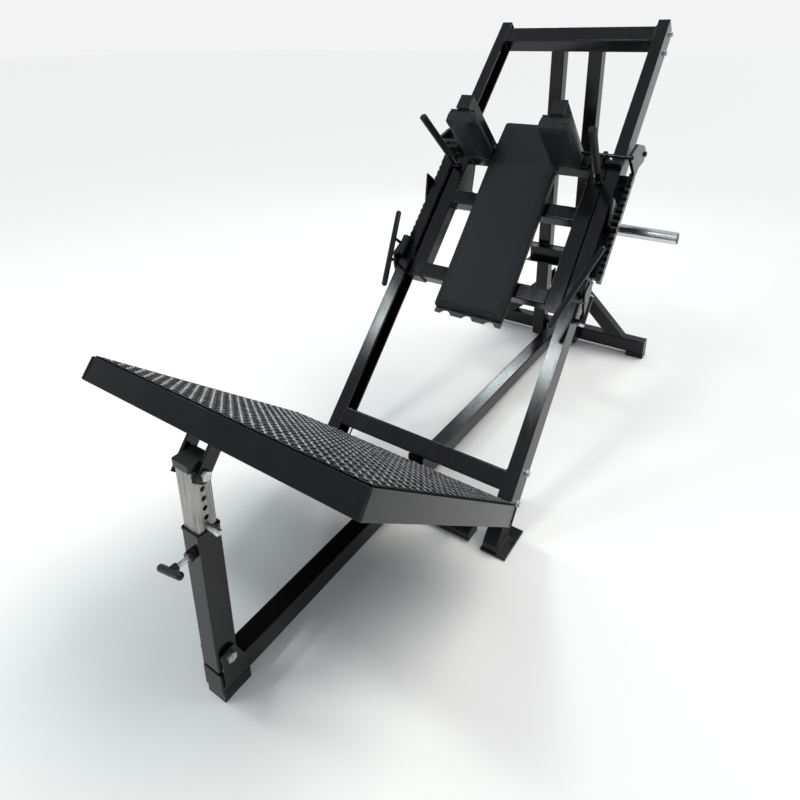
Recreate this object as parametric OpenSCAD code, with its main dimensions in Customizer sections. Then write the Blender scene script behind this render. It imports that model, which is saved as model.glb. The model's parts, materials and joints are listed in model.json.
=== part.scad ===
// Hack squat machine: a padded sled on two inclined rails, a tilting tread footplate
// on an adjustable post, weight horns on arms behind the sled, racks and catches for the sled, and
// swing-out stop levers. The sled is drawn held by its catches, the footplate resting on the stop pin.

/* [Rails] */
// Distance between the rails' centre lines
rail_gauge = 700; // [640:5:760]
// Incline of the rails from the floor, degrees
incline = 46.3; // [44:0.1:48]
// Width of the rail channel's flanges, across the machine
rail_w = 46; // [44:1:50]
// Depth of the rail channel
rail_d = 80; // [79:1:84]
// Distance along the rail from the floor line to its upper end
rail_top = 2148; // [2100:1:2240]
// Wall thickness of the frame tubes
wall = 3; // [2:0.5:4]
// Position of the lower crossbar's centre along the rails
low_bar_at = 236; // [230:1:242]
// Height of the crossbars along the rails
bar_h = 64; // [60:1:70]

/* [Floor frame] */
// Side of the square frame tube
tube = 60; // [56:1:62]
// Height of the spine above the floor
spine_lift = 30; // [28:1:34]
// Length of the rear floor beam
rear_len = 860; // [800:10:920]
// Height of the rear rubber feet
foot_h = 22; // [18:1:26]
// Length of the mid foot
mid_len = 544; // [520:2:600]
// Distance between the uprights' centre lines
upright_gauge = 170; // [160:1:180]

/* [Footplate] */
// Width of the footplate
plate_w = 856; // [800:2:900]
// Length of the footplate
plate_len = 860; // [840:2:880]
// Depth of the folded tray
tray_d = 60; // [56:1:64]
// Tilt of the footplate from the floor, degrees
plate_tilt = 39; // [38:0.1:40]
// Height of the footplate's hinge above the floor
hinge_z = 150; // [144:1:156]
// Diameter of the footplate's hinge pins
hinge_pin_d = 14; // [12:0.5:16]

/* [Post] */
// Side of the outer post tube
post_w = 58; // [57:0.5:59]
// Side of the sliding inner tube
slide_w = 50; // [49:0.5:50]
// Height of the post's lower pivot above the spine
pivot_up = 46; // [44:1:52]
// Height of the outer tube's top above the floor
post_top = 497; // [485:1:505]
// Pitch of the holes in the inner tube
hole_pitch = 24.5; // [23:0.5:25]
// Diameter of the stop pin
stop_pin_d = 12; // [10:0.5:13]

/* [Sled] */
// Where the sled's lower end stands on the rails at rest
sled_at = 840; // [836:1:846]
// Length of the sled's side beams
sled_len = 630; // [620:1:640]
// Gap between a side beam and the rail beside it
side_gap = 8; // [6:0.5:10]
// Radius of the rollers
roller_r = 31; // [28:0.5:31]
// Diameter of the roller axles
axle_d = 20; // [16:0.5:22]
// Diameter of the catch shafts
shaft_d = 15; // [12:0.5:18]
// Width of the back pad
pad_w = 290; // [270:1:300]
// Width of a shoulder pad
shoulder_w = 114; // [100:1:118]
// Distance between the shoulder pads' centre lines
shoulder_gauge = 372; // [364:1:384]
// Distance of the weight horns behind the rails' front faces
horn_back = 312; // [300:1:330]
// Diameter of the weight horns
horn_d = 49.5; // [48:0.5:50]
// Length of a weight horn from its arm
horn_len = 294; // [270:1:330]
// Reach of the shoulder arms in front of the rails
arm_reach = 298; // [280:1:320]

/* [Stop levers] */
// Diameter of a lever's handle bar
lever_bar_d = 22; // [20:1:25]
// Diameter of a rubber bumper
bumper_d = 32; // [28:1:32]
// Diameter of a lever's pivot rod
lever_rod_d = 14; // [12:0.5:15]

/* [Hidden] */
$fn = 48;

coat = "#1d1c1a";
coat_light = "#2a2926";
vinyl = "#23272b";
plastic = "#121212";
rubber = "#0e0e0e";
zinc = "#b9bab8";
chrome = "#d8dade";

// running clearance of a pin in its bore, and of a part beside a moving one
fit = 0.05;
air = 0.3;
tube_r = 5;

// a point (s along the rail, n in front of the rail's front face) as [y, z]
function rail_yz(s, n) = [s * cos(incline) - n * sin(incline), s * sin(incline) + n * cos(incline)];

rail_x = rail_gauge / 2;
rail_in = rail_x - rail_w / 2;
rail_out = rail_x + rail_w / 2;

// top crossbar and the uprights that meet its rear face
top_bar_h = bar_h + 13;
top_bar_at = rail_top - 68;
top_bar_d = rail_d - 8;
upright_x = upright_gauge / 2;
upright_y = rail_yz(top_bar_at, -top_bar_d)[0];
upright_top = rail_yz(top_bar_at + top_bar_h / 2, -top_bar_d)[1] + 2;
rear_y = upright_y + tube / 2;
beam_h = tube + 6;
spine_top = spine_lift + tube;

// rail feet
foot_t = 8;
toe_y = 36;
toe_t = 6;

// footplate and post
mid_y0 = 34;
hinge_y = 22;
hinge_back = 35;
hinge_under = tray_d - 4;
ear_drop = tray_d - hinge_under + 61;
ear_back = 24;
up_u = -(hinge_back + plate_len - ear_back);
up_v = -(ear_drop - 0.3);
post_y = hinge_y + up_u * cos(plate_tilt) + up_v * sin(plate_tilt);
up_z = hinge_z - up_u * sin(plate_tilt) + up_v * cos(plate_tilt);
low_z = spine_top + pivot_up;
spine_front = post_y - 24;
hinge_x = 230;
hinge_t = 10;
bush_h = 6;
pin_z = post_top + bush_h + air + stop_pin_d / 2;
low_pin_d = 16;
up_pin_d = 12;
ear_t = 8;
ear_x = tube / 2;
clamp_z = post_top - 53;
clamp_d = 12;
clamp_reach = 86;
clamp_grip_d = 17;
slide_bottom = post_top - 173;
slide_top = up_z + 20;

// sled
beam_out = rail_in - side_gap;
beam_in = beam_out - tube;
sled_front = -12;
sled_back = sled_front - tube;
sled_top = sled_at + sled_len;
web_t = 6;
flange_t = 8;
plate_gap = 0.05;
roll_n = -rail_d + flange_t + roller_r + air;
roll_x = rail_in + 3;
roll_w = 30;
roll_up = sled_top - 60;
roll_low = sled_at + 75;
shaft_s = sled_top - 15;
shaft_n = 30;
rack_x0 = rail_out + 20;
rack_x1 = rack_x0 + 17;
rack_n0 = -78;
rack_n1 = -50;
rack_s0 = sled_at + 145;
rack_s1 = shaft_s - 15;
arm_w = 52;
arm_s0 = sled_top - 45;
arm_s1 = arm_s0 + 62;
arm_x = shoulder_gauge / 2;
horn_s = sled_at + 492;
horn_arm_t = 16;
horn_arm_x = beam_in + 5;
horn_x = horn_arm_x + horn_arm_t;
shoulder_t = 56;
shoulder_n0 = 48;
board_t = 8;
pad_face = sled_front + board_t;
pad_s0 = sled_at - 107;
fold_s = sled_at + 525;
pad_s1 = sled_at + 735;

// stop levers
lever_x = rail_out + 19;
lever_n = -60;
lug_s = sled_at - 22;
bumper_x = rail_out - 1;
bumper_n = bumper_d / 2 + 2;
bumper_s0 = sled_at + 65;
bumper_s1 = bumper_s0 + 80;

// the model's reach along y, centred on the origin
y_front = post_y - clamp_reach - clamp_grip_d / 2;
y_rear = rear_y + tube;
mid_y = (y_front + y_rear) / 2;

module floor_frame() translate([0, -mid_y, 0]) children();
module rail_frame() floor_frame() rotate([incline, 0, 0]) children();
module plate_frame() floor_frame() translate([0, hinge_y, hinge_z]) rotate([-plate_tilt, 0, 0]) children();
module side(k) mirror([k < 0 ? 1 : 0, 0, 0]) children();
module both() {
    children();
    mirror([1, 0, 0]) children();
}

// section of a drawn tube, and the same as a hollow ring
module section(a, b, r) {
    square([a - 2 * r, b], center = true);
    square([a, b - 2 * r], center = true);
    for (i = [-1, 1], j = [-1, 1])
        translate([i * (a / 2 - r), j * (b / 2 - r)]) circle(r);
}
module ring(a, b, t = wall, r = tube_r) difference() {
    section(a, b, r);
    section(a - 2 * t, b - 2 * t, max(r - t, 1));
}

// extrusions along the axes: the section's axes become (y, z), (x, z) and (x, y)
module along_x(x0, x1) translate([x0, 0, 0]) rotate([90, 0, 90]) linear_extrude(x1 - x0) children();
module along_y(y0, y1) translate([0, y1, 0]) rotate([90, 0, 0]) linear_extrude(y1 - y0) children();
module along_z(z0, z1) translate([0, 0, z0]) linear_extrude(z1 - z0) children();

module pin_x(x0, x1, y, z, d) translate([x0, y, z]) rotate([0, 90, 0]) cylinder(h = x1 - x0, d = d);
module pin_y(y0, y1, x, z, d) translate([x, y0, z]) rotate([-90, 0, 0]) cylinder(h = y1 - y0, d = d);
module hex_x(x0, x1, y, z, d) translate([x0, y, z]) rotate([0, 90, 0]) cylinder(h = x1 - x0, d = d, $fn = 6);

// a round bar between two points, and the same with domed ends
module between(a, b) {
    v = b - a;
    translate(a) rotate([0, acos(v[2] / norm(v)), atan2(v[1], v[0])]) children();
}
module rod(a, b, d) between(a, b) cylinder(h = norm(b - a), d = d);
module domed(a, b, d) {
    l = norm(b - a);
    between(a, b) rotate_extrude() intersection() {
        union() {
            translate([-d / 2, 0]) square([d, l]);
            circle(d / 2);
            translate([0, l]) circle(d / 2);
        }
        translate([0, -d]) square([d, l + 2 * d]);
    }
}

// outline of a cushion drawn in by d, counter-clockwise
function outline(w, l, r, d, q) = let(a = w / 2 - d, b = l / 2 - d, c = max(r - d, 0.5))
    [for (k = [0:3], i = [0:q]) let(t = 90 * k + 90 * i / q,
        sx = k == 0 || k == 3 ? 1 : -1, sy = k < 2 ? 1 : -1)
        [sx * (a - c) + c * cos(t), sy * (b - c) + c * sin(t)]];

// a cushion standing on z = 0: sides drawn in at the base and at a seam, rolled edge, crowned face
module cushion(w, l, t, crown, roll, corner, q = 5) {
    seam_z = t - roll - 2;
    side_rings = [[5, 0], [1.5, 0.15 * seam_z], [0, 0.5 * seam_z], [0.4, seam_z - 3],
        [2.6, seam_z - 1], [0.4, seam_z + 1]];
    roll_rings = [for (k = [1:4]) let(a = 90 * k / 4) [roll * (1 - cos(a)), t - roll + roll * sin(a)]];
    last = w / 2 - roll - 1;
    crown_rings = [for (k = [1:4]) let(f = k / 4) [roll + last * f, t + crown * (1 - (1 - f) * (1 - f))]];
    rings = concat(side_rings, roll_rings, crown_rings);
    m = len(rings);
    c = 4 * (q + 1);
    pts = [for (g = rings, p = outline(w, l, corner, g[0], q)) [p[0], p[1], g[1]]];
    walls = [for (k = [0:m - 2], i = [0:c - 1]) let(j = (i + 1) % c)
        each [[k * c + i, (k + 1) * c + i, (k + 1) * c + j], [k * c + i, (k + 1) * c + j, k * c + j]]];
    caps = [[for (i = [0:c - 1]) i], [for (i = [0:c - 1]) (m - 1) * c + c - 1 - i]];
    polyhedron(points = pts, faces = concat(walls, caps), convexity = 4);
}

// a channel open towards the other rail
module channel() {
    translate([rail_out - web_t, -rail_d]) square([web_t, rail_d]);
    for (n = [-rail_d, -flange_t])
        translate([rail_in, n]) square([rail_w - web_t - plate_gap, flange_t]);
}
module rail(k) color(coat) rail_frame_cut() rail_frame() side(k) along_y(0, rail_top) channel();

// cuts a rail level on its base plate and upright at its toe
module rail_frame_cut() difference() {
    children();
    floor_frame() translate([-rail_gauge, -500, -500]) cube([2 * rail_gauge, 2000, 500 + foot_t]);
    floor_frame() translate([-rail_gauge, -500, -500]) cube([2 * rail_gauge, 500 + toe_y, 1000]);
}

module spine() color(coat) floor_frame()
    translate([0, 0, spine_lift + tube / 2]) along_y(spine_front, rear_y) ring(tube, tube);

module front_foot() color(coat) floor_frame()
    translate([0, 0, (6 + spine_lift) / 2]) along_y(spine_front, spine_front + 80)
        square([tube, spine_lift - 6], center = true);

module post_ears() color(coat) floor_frame() both() difference() {
    along_x(tube / 2, tube / 2 + ear_t) {
        translate([post_y, low_z]) circle(23);
        polygon([[post_y - 22, spine_top - 40], [post_y + 44, spine_top - 40],
            [post_y + 44, spine_top], [post_y + 20, low_z + 11], [post_y - 22, low_z + 4]]);
    }
    pin_x(0, tube, post_y, low_z, low_pin_d + 2 * fit);
}

module mid_foot() color(coat) floor_frame()
    translate([0, mid_y0 + tube / 2, spine_lift / 2])
        along_x(-mid_len / 2, mid_len / 2) ring(tube, spine_lift);

module hinge_brackets() color(coat) floor_frame() both() difference() {
    along_x(hinge_x - hinge_t / 2, hinge_x + hinge_t / 2) {
        translate([hinge_y, hinge_z]) circle(17);
        polygon([[mid_y0 + 4, spine_lift], [mid_y0 + 56, spine_lift],
            [hinge_y + 15, hinge_z + 8], [hinge_y - 16, hinge_z - 5]]);
    }
    pin_x(hinge_x - hinge_t, hinge_x + hinge_t, hinge_y, hinge_z, hinge_pin_d + 2 * fit);
}

module rail_feet() color(coat) floor_frame() both() {
    translate([rail_in - 6, mid_y0 - 8, 0]) cube([rail_w + 37, 136, foot_t]);
    along_x(rail_in, rail_out) polygon([[toe_y - toe_t, foot_t], [toe_y, foot_t],
        [toe_y, toe_y * tan(incline)], [toe_y - toe_t, (toe_y - toe_t) * tan(incline)]]);
}

// a crossbar between the rails' inner edges, flush with their front
module crossbar(at, h, d) rail_frame()
    translate([0, at, -d / 2]) along_x(-rail_in, rail_in) ring(h, d);

module lower_crossbar() color(coat) {
    corner = rail_yz(low_bar_at - bar_h / 2, -60);
    crossbar(low_bar_at, bar_h, 60);
    difference() {
        floor_frame() translate([-tube / 2, corner[0] - 30, spine_top])
            cube([tube, 66, corner[1] + 20 - spine_top]);
        rail_frame() translate([0, low_bar_at, -30]) along_x(-tube, tube) section(bar_h - 1, 59, tube_r);
    }
}

module top_crossbar() color(coat) crossbar(top_bar_at, top_bar_h, top_bar_d);

module upright(k) color(coat) difference() {
    floor_frame() side(k) translate([upright_x, upright_y, 0]) along_z(foot_h, upright_top) ring(tube, tube);
    rail_frame() translate([-rail_gauge, top_bar_at - top_bar_h / 2, -top_bar_d])
        cube([2 * rail_gauge, 900, 900]);
}

module upright_tie() color(coat) floor_frame() along_x(-150, 150) difference() {
    translate([upright_y - tube / 2 - 60, 440]) square([60, 80]);
    translate([upright_y - tube / 2 - 61, 445]) square([56, 70]);
}

module rear_beam() color(coat) floor_frame()
    translate([0, rear_y + tube / 2, foot_h + beam_h / 2])
        along_x(-rear_len / 2, rear_len / 2) ring(tube, beam_h);

// diagonals from the rear beam up to the backs of the uprights
module braces() color(coat) floor_frame() both() {
    reach = upright_x + 293;
    base = foot_h + beam_h;
    difference() {
        translate([reach / 2, rear_y + tube / 2, reach / 2]) rotate([0, 45, 0]) translate([-reach, 0, 0])
            along_x(0, 2 * reach) ring(tube, tube);
        translate([-2000, 0, base - 3000]) cube([4000, 4000, 3000]);
        translate([upright_x - tube / 2 - 3000, 0, -500]) cube([3000, 4000, 4000]);
    }
}

module rubber_feet() color(rubber) floor_frame() {
    both() translate([rear_len / 2 - 75, rear_y, 0]) cube([80, tube, foot_h]);
    translate([-tube / 2, spine_front, 0]) cube([tube, 80, 6]);
}

module end_caps() color(plastic) {
    floor_frame() both() {
        translate([rear_len / 2, rear_y, foot_h]) cube([5, tube, beam_h]);
        translate([mid_len / 2, mid_y0, 1]) cube([4, tube, spine_lift - 1]);
    }
    floor_frame() translate([-tube / 2, spine_front - 4, spine_lift]) cube([tube, 4, tube]);
    rail_frame() both() translate([rail_in, rail_top, -rail_d]) cube([rail_w, 4, rail_d]);
}

module frame_bolts() color(zinc) {
    rail_frame() both() for (s = [low_bar_at - 49, low_bar_at + 49, top_bar_at - 50, top_bar_at + 50]) {
        pin_x(rail_out, rail_out + 2, s, -rail_d + 18, 24);
        hex_x(rail_out + 2, rail_out + 10, s, -rail_d + 18, 20);
    }
}

module pivot_pins() color(zinc) {
    floor_frame() {
        low_x = tube / 2 + ear_t;
        pin_x(-low_x, low_x, post_y, low_z, low_pin_d);
        both() hex_x(low_x, low_x + 10, post_y, low_z, 26);
        both() {
            pin_x(hinge_x - 20, hinge_x + 20, hinge_y, hinge_z, hinge_pin_d);
            pin_x(hinge_x - 24, hinge_x - 19, hinge_y, hinge_z, hinge_pin_d + 9);
            pin_x(hinge_x + 19, hinge_x + 24, hinge_y, hinge_z, hinge_pin_d + 9);
        }
    }
    rail_frame() both() {
        pin_y(lug_s - 1, lug_s + 107, lever_x, lever_n, lever_rod_d);
        pin_y(lug_s - 6, lug_s, lever_x, lever_n, lever_rod_d + 8);
        pin_y(lug_s + 106, lug_s + 112, lever_x, lever_n, lever_rod_d + 8);
    }
}

// lugs on the rails' outer faces that hold the stop levers' pivot rods
module stop_lugs() color(coat) rail_frame() both() for (s = [lug_s, lug_s + 94.5]) difference() {
    along_y(s, s + 11.5) {
        translate([lever_x, lever_n]) circle(13);
        translate([rail_out, lever_n - 13]) square([lever_x - rail_out, 26]);
    }
    pin_y(s - 1, s + 13, lever_x, lever_n, lever_rod_d + 2 * fit);
}

module horn(k) color(chrome) rail_frame() side(k)
    pin_x(horn_x, horn_x + horn_len, horn_s, -horn_back, horn_d);

module sled_beam(k) color(coat) rail_frame() side(k) difference() {
    union() {
        translate([beam_out - tube / 2, 0, sled_front - tube / 2])
            along_y(sled_at, sled_top) ring(tube, tube);
        along_x(horn_arm_x, horn_x) polygon([[sled_at + 609, sled_back + 1], [horn_s - 10, sled_back - 74],
            [horn_s + 31, -horn_back - 31], [horn_s - 31, -horn_back - 31], [sled_at + 385, sled_back + 1]]);
        along_x(beam_out - 16, beam_out - 4) {
            translate([shaft_s, shaft_n]) circle(16);
            polygon([[shaft_s - 34, sled_front], [sled_top, sled_front], [shaft_s + 14, shaft_n + 7],
                [shaft_s - 15, shaft_n + 5]]);
        }
    }
    pin_x(beam_out - 40, beam_out, shaft_s, shaft_n, shaft_d + 2 * fit);
    for (s = [roll_up, roll_low])
        pin_x(beam_out - 20, beam_out + 1, s, roll_n, axle_d + 2 * fit);
}

module sled_cross(at) color(coat) rail_frame()
    translate([0, at, sled_front - tube / 2]) along_x(-beam_in, beam_in) ring(tube, tube);

// toothed racks held off the rails' outer faces, each with a fin
module racks() color(coat_light) rail_frame() both() {
    teeth = floor((rack_s1 - rack_s0 - 40) / 28);
    along_x(rack_x0, rack_x1) polygon(concat([[rack_s1, rack_n0], [rack_s0, rack_n0], [rack_s0, rack_n1]],
        [for (i = [0:teeth - 1], q = [[0, 0], [20, -9], [20, 0]])
            [rack_s0 + 20 + 28 * i + q[0], rack_n1 + q[1]]],
        [[rack_s1, rack_n1]]));
    for (s = [rack_s0 + 10, sled_at + 365, rack_s1 - 60])
        translate([rail_out, s, rack_n0]) cube([rack_x0 - rail_out, 50, 22]);
    translate([rail_out, rack_s0 + 10, rack_n0]) cube([rack_x0 - rail_out, rack_s1 - rack_s0 - 20, 5]);
    along_x(rack_x0 - 8, rack_x0) polygon([[sled_at + 350, rack_n0], [sled_at + 350, -18],
        [sled_at + 433, 44], [sled_at + 442, -14], [sled_at + 442, rack_n0]]);
}

// a catch: a shaft across the rail with a plate outside that stands on the rack's upper end
module catch(k) color(coat_light) rail_frame() side(k) {
    pin_x(arm_x + arm_w / 2 + 0.5, rack_x1 + 4, shaft_s, shaft_n, shaft_d);
    along_x(rack_x0 + 5, rack_x1) {
        translate([shaft_s, shaft_n]) circle(17);
        polygon([[rack_s1 + air, rack_n0 + 4], [rack_s1 + air, 20], [shaft_s - 14, shaft_n + 9],
            [shaft_s + 10, shaft_n + 14], [sled_top + 62, 8], [sled_top + 112, -70], [sled_top + 116, -108],
            [sled_top + 100, -124], [sled_top + 72, -122], [sled_top + 20, -84]]);
    }
    pin_x(rack_x1, rack_x1 + 7, sled_top + 98, -106, 20);
}

module axles() color(zinc) rail_frame() both() for (s = [roll_up, roll_low]) {
    pin_x(beam_out - 12, roll_x + roll_w + 1, s, roll_n, axle_d);
    pin_x(beam_out, roll_x - 0.5, s, roll_n, axle_d + 8);
    pin_x(roll_x + roll_w + 0.5, roll_x + roll_w + 3.5, s, roll_n, axle_d + 6);
}

// bearing blocks under the catch shafts, close over the rails' front faces
module guide_blocks() color(plastic) rail_frame() both() along_x(beam_out - 4, rail_out - 2)
    polygon([[shaft_s - 29, air], [shaft_s - 10, air], [shaft_s - 10, shaft_n - 10],
        [shaft_s - 18, shaft_n - 3], [shaft_s - 29, shaft_n - 3]]);

module pad_board() color(plastic) rail_frame() difference() {
    translate([-pad_w / 2 + 8, pad_s0 - 20, sled_front]) cube([pad_w - 16, pad_s1 - pad_s0 + 10, board_t]);
    for (x = [-92, 0, 92])
        translate([x, pad_s0 - 32, sled_front - 1]) cylinder(h = board_t + 2, r = 26);
}

// back pad: a long body that thickens upward, and a head part folded slightly back
module back_pad() color(vinyl) rail_frame() intersection() {
    union() {
        translate([0, (pad_s0 + fold_s) / 2, pad_face - 7]) rotate([1.6, 0, 0])
            cushion(pad_w, fold_s - pad_s0 + 6, 36, 4, 9, 16);
        translate([0, (fold_s + pad_s1) / 2, pad_face - 2]) rotate([-2.2, 0, 0])
            cushion(pad_w, pad_s1 - fold_s + 8, 36, 4, 9, 16);
    }
    translate([-500, pad_s0 - 100, pad_face]) cube([1000, 1500, 300]);
}

module shoulder_pad(k) color(vinyl) rail_frame() side(k)
    translate([arm_x, arm_s0 - 5, (shoulder_n0 + arm_reach) / 2]) rotate([90, 0, 0])
        cushion(shoulder_w, arm_reach + 4 - shoulder_n0, shoulder_t, 3, 8, 12);

module shoulder_arm(k) color(coat) rail_frame() side(k) {
    translate([arm_x, (arm_s0 + arm_s1) / 2, 0]) along_z(sled_front, arm_reach) ring(arm_w, arm_s1 - arm_s0);
    translate([arm_x - shoulder_w / 2 + 6, arm_s0 - 5, shoulder_n0 + 5])
        cube([shoulder_w - 12, 5, arm_reach - shoulder_n0 - 10]);
}

grip_root = [beam_out - 17, sled_at + 520, sled_front + 8];
grip_tip = [rail_in + 5, sled_at + 528, 304];

module hand_grips() color(coat) rail_frame() both() difference() {
    union() {
        rod(grip_root, grip_tip, 24);
        translate(grip_root) sphere(d = 36);
    }
    translate([0, sled_at, sled_front - 100]) cube([rail_gauge, sled_len, 100]);
}

module grip_sleeves() color(rubber) rail_frame() both() {
    v = (grip_tip - grip_root) / norm(grip_tip - grip_root);
    start = grip_tip - 240 * v;
    between(start, grip_tip) rotate_extrude() difference() {
        polygon([[0, 0], [14.5, 0], [14.5, 243], [12.5, 245], [0, 245]]);
        translate([-1, -1]) square([13 + fit, 241 + fit]);
    }
}

module sled_caps() color(plastic) rail_frame() both() {
    translate([arm_x - arm_w / 2, arm_s0, arm_reach]) cube([arm_w, arm_s1 - arm_s0, 4]);
    translate([beam_in, sled_at - 4, sled_back]) cube([tube, 4, tube]);
    translate([beam_in, sled_top, sled_back]) cube([tube - 8, 4, tube]);
    pin_x(horn_x + horn_len, horn_x + horn_len + 2, horn_s, -horn_back, horn_d - 5);
}

module roller(k, s) color(plastic) rail_frame() side(k) difference() {
    translate([roll_x, s, roll_n]) rotate([0, 90, 0]) rotate_extrude()
        polygon([[0, 0], [roller_r - 3, 0], [roller_r, 3], [roller_r, roll_w - 3],
            [roller_r - 3, roll_w], [0, roll_w]]);
    pin_x(roll_x - 1, roll_x + roll_w + 1, s, roll_n, axle_d + 2 * fit);
}

// a stop lever: sleeve on the pivot rod, gusset, bumper seat, and a handle bar on two struts
module lever(k) color(coat) rail_frame() side(k) difference() {
    bar_a = [rail_in + 10, sled_at - 96, 84];
    bar_b = [rail_out + 45, sled_at + 212, 76];
    union() {
        pin_y(lug_s + 12, lug_s + 94, lever_x, lever_n, 24);
        along_x(lever_x - 2, lever_x + 6) polygon([[lug_s + 14, lever_n], [lug_s + 92, lever_n],
            [lug_s + 92, lever_n + 18], [lug_s + 146, -20], [lug_s + 146, 8], [bumper_s0, 26],
            [bumper_s0 - 8, 26], [lug_s + 44, -10]]);
        along_y(bumper_s0 - 8, bumper_s0) {
            translate([bumper_x, bumper_n]) circle(bumper_d / 2);
            translate([bumper_x, bumper_n - 12]) square([lever_x + 2 - bumper_x, 20]);
        }
        domed(bar_a, bar_b, lever_bar_d);
        rod(bar_a + 0.64 * (bar_b - bar_a), [lever_x + 6, lug_s + 138, -4], 13);
        rod(bar_a + 0.34 * (bar_b - bar_a), [lever_x + 2, lug_s + 60, -6], 13);
    }
    pin_y(lug_s, lug_s + 110, lever_x, lever_n, lever_rod_d + 2 * fit);
}

module bumper(k) color(rubber) rail_frame() side(k)
    translate([bumper_x, bumper_s0, bumper_n]) rotate([-90, 0, 0]) rotate_extrude()
        polygon([[0, 0], [bumper_d / 2, 0], [bumper_d / 2, bumper_s1 - bumper_s0 - 4],
            [bumper_d / 2 - 4, bumper_s1 - bumper_s0], [0, bumper_s1 - bumper_s0]]);

// footplate, drawn from its hinge: y runs down the plate, z is its upper side
tray_y0 = -hinge_back - plate_len;
module plate_tray() color(coat) plate_frame() difference() {
    translate([-plate_w / 2, tray_y0, hinge_under - tray_d]) cube([plate_w, plate_len, tray_d]);
    translate([-plate_w / 2 + 4, tray_y0 + 4, hinge_under - tray_d - 1])
        cube([plate_w - 8, plate_len - 8, tray_d - 3]);
}

module plate_tread() color(coat_light) plate_frame()
    translate([-plate_w / 2 + 4, tray_y0 + 4, hinge_under]) cube([plate_w - 8, plate_len - 8, 3]);

module plate_lugs() color(coat) plate_frame() {
    both() difference() {
        along_x(ear_x, ear_x + ear_t) polygon([[up_u - 18, hinge_under - 4], [up_u + 18, hinge_under - 4],
            [up_u + 18, up_v - 12], [up_u + 10, up_v - 20], [up_u - 18, up_v - 20]]);
        pin_x(0, tube, up_u, up_v, up_pin_d + 4);
    }
    both() difference() {
        for (x = [hinge_x - hinge_t / 2 - 12, hinge_x + hinge_t / 2 + 1])
            along_x(x, x + 11) {
                circle(15);
                polygon([[-hinge_back, hinge_under - tray_d], [-hinge_back, 34], [8, 12.5], [-2, -14.8]]);
            }
        pin_x(hinge_x - 40, hinge_x + 40, 0, 0, hinge_pin_d + 2 * fit);
    }
}

// post: outer tube on the lower pivot, inner tube on the footplate's ears
module post_tube() color(coat) floor_frame() difference() {
    union() {
        translate([0, post_y, 0]) along_z(low_z - 34, post_top) ring(post_w, post_w);
        translate([0, post_y - post_w / 2, clamp_z]) rotate([90, 0, 0]) cylinder(h = 14, d = 28, $fn = 6);
        both() pin_x(post_w / 2 - wall, tube / 2, post_y, low_z, low_pin_d + 10);
    }
    pin_x(-tube, tube, post_y, low_z, low_pin_d + 2 * fit);
    pin_y(post_y - post_w, post_y, 0, clamp_z, clamp_d + 4 * fit);
}

module post_bush() color(plastic) floor_frame() translate([0, post_y, 0]) difference() {
    along_z(post_top, post_top + bush_h) section(post_w + 2, post_w + 2, tube_r);
    along_z(post_top - 1, post_top + bush_h + 1) section(slide_w + 2 * air, slide_w + 2 * air, tube_r);
}

module clamp_screw() color(zinc) floor_frame()
    pin_y(post_y - clamp_reach + 5, post_y - slide_w / 2 - air, 0, clamp_z, clamp_d);

module clamp_grip() color(plastic) floor_frame() difference() {
    translate([0, post_y - clamp_reach, clamp_z]) rotate([0, -14, 0]) {
        pin_x(-34, 34, 0, 0, clamp_grip_d);
        for (x = [-34, 34])
            translate([x, 0, 0]) sphere(d = clamp_grip_d);
        pin_y(0, 16, 0, 0, 20);
    }
    pin_y(post_y - clamp_reach + 5, post_y, 0, clamp_z, clamp_d);
}

module inner_tube() color(zinc) floor_frame() difference() {
    translate([0, post_y, 0]) along_z(slide_bottom, slide_top) ring(slide_w, slide_w);
    for (i = [0:4])
        pin_x(-tube, tube, post_y, pin_z + i * hole_pitch, stop_pin_d + 2 * fit);
    pin_x(-tube, tube, post_y, up_z, up_pin_d + 2 * fit);
}

module inner_plug() color(plastic) floor_frame() translate([0, post_y, 0]) difference() {
    along_z(up_z + 14, slide_top + 12) section(slide_w + 6, slide_w + 6, tube_r);
    along_z(up_z + 13, slide_top) section(slide_w, slide_w, tube_r);
}

module pivot_bolt() color(zinc) floor_frame() {
    end_x = ear_x + ear_t + 1;
    pin_x(-end_x, end_x, post_y, up_z, up_pin_d);
    both() pin_x(slide_w / 2, ear_x - 0.5, post_y, up_z, up_pin_d + 8);
    both() hex_x(end_x, end_x + 9, post_y, up_z, 24);
}

module stop_pin() color(chrome) floor_frame() {
    pin_x(-slide_w / 2 - 5, post_w / 2 + 6, post_y, pin_z, stop_pin_d);
    translate([post_w / 2 + 3, post_y, pin_z]) rotate([0, 90, 0]) rotate_extrude()
        polygon([[0, 0], [8.5, 0], [8.5, 27], [6, 30], [0, 30]]);
}

spine();
front_foot();
post_ears();
mid_foot();
hinge_brackets();
rail(-1);  // rail_l
rail(1);  // rail_r
rail_feet();
lower_crossbar();
top_crossbar();
upright(-1);  // upright_l
upright(1);  // upright_r
upright_tie();
rear_beam();
braces();
rubber_feet();
end_caps();
frame_bolts();
pivot_pins();
stop_lugs();
horn(-1);  // horn_l
horn(1);  // horn_r
sled_beam(-1);  // sled_beam_l
sled_beam(1);  // sled_beam_r
sled_cross(sled_top - tube / 2 - 2);  // sled_cross_top
sled_cross(sled_at + 375);  // sled_cross_mid
sled_cross(sled_at + tube / 2 + 2);  // sled_cross_low
racks();
catch(-1);  // catch_l
catch(1);  // catch_r
axles();
guide_blocks();
pad_board();
back_pad();
shoulder_pad(-1);  // shoulder_pad_l
shoulder_pad(1);  // shoulder_pad_r
shoulder_arm(-1);  // shoulder_arm_l
shoulder_arm(1);  // shoulder_arm_r
hand_grips();
grip_sleeves();
sled_caps();
roller(-1, roll_up);  // roller_ul
roller(1, roll_up);  // roller_ur
roller(-1, roll_low);  // roller_ll
roller(1, roll_low);  // roller_lr
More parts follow.
